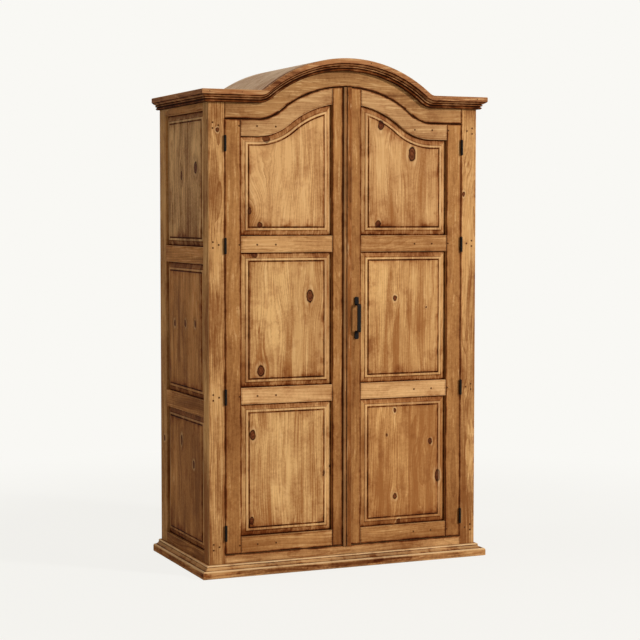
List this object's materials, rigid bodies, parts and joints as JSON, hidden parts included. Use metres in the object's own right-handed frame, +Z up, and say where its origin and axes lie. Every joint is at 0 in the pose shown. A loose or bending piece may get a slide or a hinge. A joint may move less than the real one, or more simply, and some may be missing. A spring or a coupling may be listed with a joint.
{
  "type": "trastero cabinet",
  "caption": "Tall frame-and-panel pine storage cabinet with an arched moulded head, hinged panelled doors, a stepped plinth and shelves inside.",
  "frame": {"origin": "middle of the footprint on the floor", "axes": "+Z up, the doors face -Y, +X to the right of someone facing the doors"},
  "size_m": [1.2192, 0.6266, 1.9975],
  "materials": {
    "waxed_pine_frame": "knotty pine, stained and waxed, satin",
    "waxed_pine_panel": "knotty pine boards, stained and waxed, satin",
    "waxed_pine_moulding": "pine moulding, stained a little redder, satin wax",
    "plain_pine": "pine boards, lightly oiled, matte",
    "roof_pine": "thin pine roof boards, dusty and matte",
    "black_iron": "blackened wrought iron, dull",
    "plated_steel": "zinc-plated sheet, satin",
    "catch_plastic": "brown moulded case"
  },
  "bodies": {
    "case": {"back_boards": "plain_pine", "back_bottom_rail": "plain_pine", "back_head_rail": "plain_pine", "back_left_post": "waxed_pine_frame", "back_right_post": "waxed_pine_frame", "cornice_front": "waxed_pine_moulding", "cornice_left": "waxed_pine_moulding", "cornice_right": "waxed_pine_moulding", "door_catches": "catch_plastic", "floor_boards": "plain_pine", "front_bottom_rail": "waxed_pine_frame", "front_head_rail": "waxed_pine_frame", "front_left_post": "waxed_pine_frame", "front_right_post": "waxed_pine_frame", "hinge_pins": "black_iron", "hinge_post_leaves": "black_iron", "left_side_bottom_panel": "waxed_pine_panel", "left_side_bottom_rail": "waxed_pine_frame", "left_side_middle_panel": "waxed_pine_panel", "left_side_middle_rails": "waxed_pine_frame", "left_side_top_panel": "waxed_pine_panel", "left_side_top_rail": "waxed_pine_frame", "lower_shelf": "plain_pine", "plinth_front": "waxed_pine_moulding", "plinth_left": "waxed_pine_moulding", "plinth_right": "waxed_pine_moulding", "right_side_bottom_panel": "waxed_pine_panel", "right_side_bottom_rail": "waxed_pine_frame", "right_side_middle_panel": "waxed_pine_panel", "right_side_middle_rails": "waxed_pine_frame", "right_side_top_panel": "waxed_pine_panel", "right_side_top_rail": "waxed_pine_frame", "roof": "roof_pine", "shelf_cleats": "plain_pine", "upper_shelf": "plain_pine"},
    "left_door": {"left_door_bottom_panel": "waxed_pine_panel", "left_door_bottom_rail": "waxed_pine_frame", "left_door_head_rail": "waxed_pine_frame", "left_door_hinge_leaves": "black_iron", "left_door_hinge_stile": "waxed_pine_frame", "left_door_lower_rail": "waxed_pine_frame", "left_door_meeting_stile": "waxed_pine_frame", "left_door_middle_panel": "waxed_pine_panel", "left_door_strike_plate": "plated_steel", "left_door_top_panel": "waxed_pine_panel", "left_door_upper_rail": "waxed_pine_frame"},
    "right_door": {"meeting_strip": "waxed_pine_moulding", "pull_handle": "black_iron", "right_door_bottom_panel": "waxed_pine_panel", "right_door_bottom_rail": "waxed_pine_frame", "right_door_head_rail": "waxed_pine_frame", "right_door_hinge_leaves": "black_iron", "right_door_hinge_stile": "waxed_pine_frame", "right_door_lower_rail": "waxed_pine_frame", "right_door_meeting_stile": "waxed_pine_frame", "right_door_middle_panel": "waxed_pine_panel", "right_door_strike_plate": "plated_steel", "right_door_top_panel": "waxed_pine_panel", "right_door_upper_rail": "waxed_pine_frame"}
  },
  "joints": [
    {"name": "left_door_hinge", "type": "hinge", "parent": "case", "child": "left_door", "pos_m": [-0.5065, -0.2829, 0.91875], "axis": [0, 0, -1], "range_deg": [0, 170]},
    {"name": "right_door_hinge", "type": "hinge", "parent": "case", "child": "right_door", "pos_m": [0.5065, -0.2829, 0.91875], "axis": [0, 0, 1], "range_deg": [0, 170]}
  ]
}
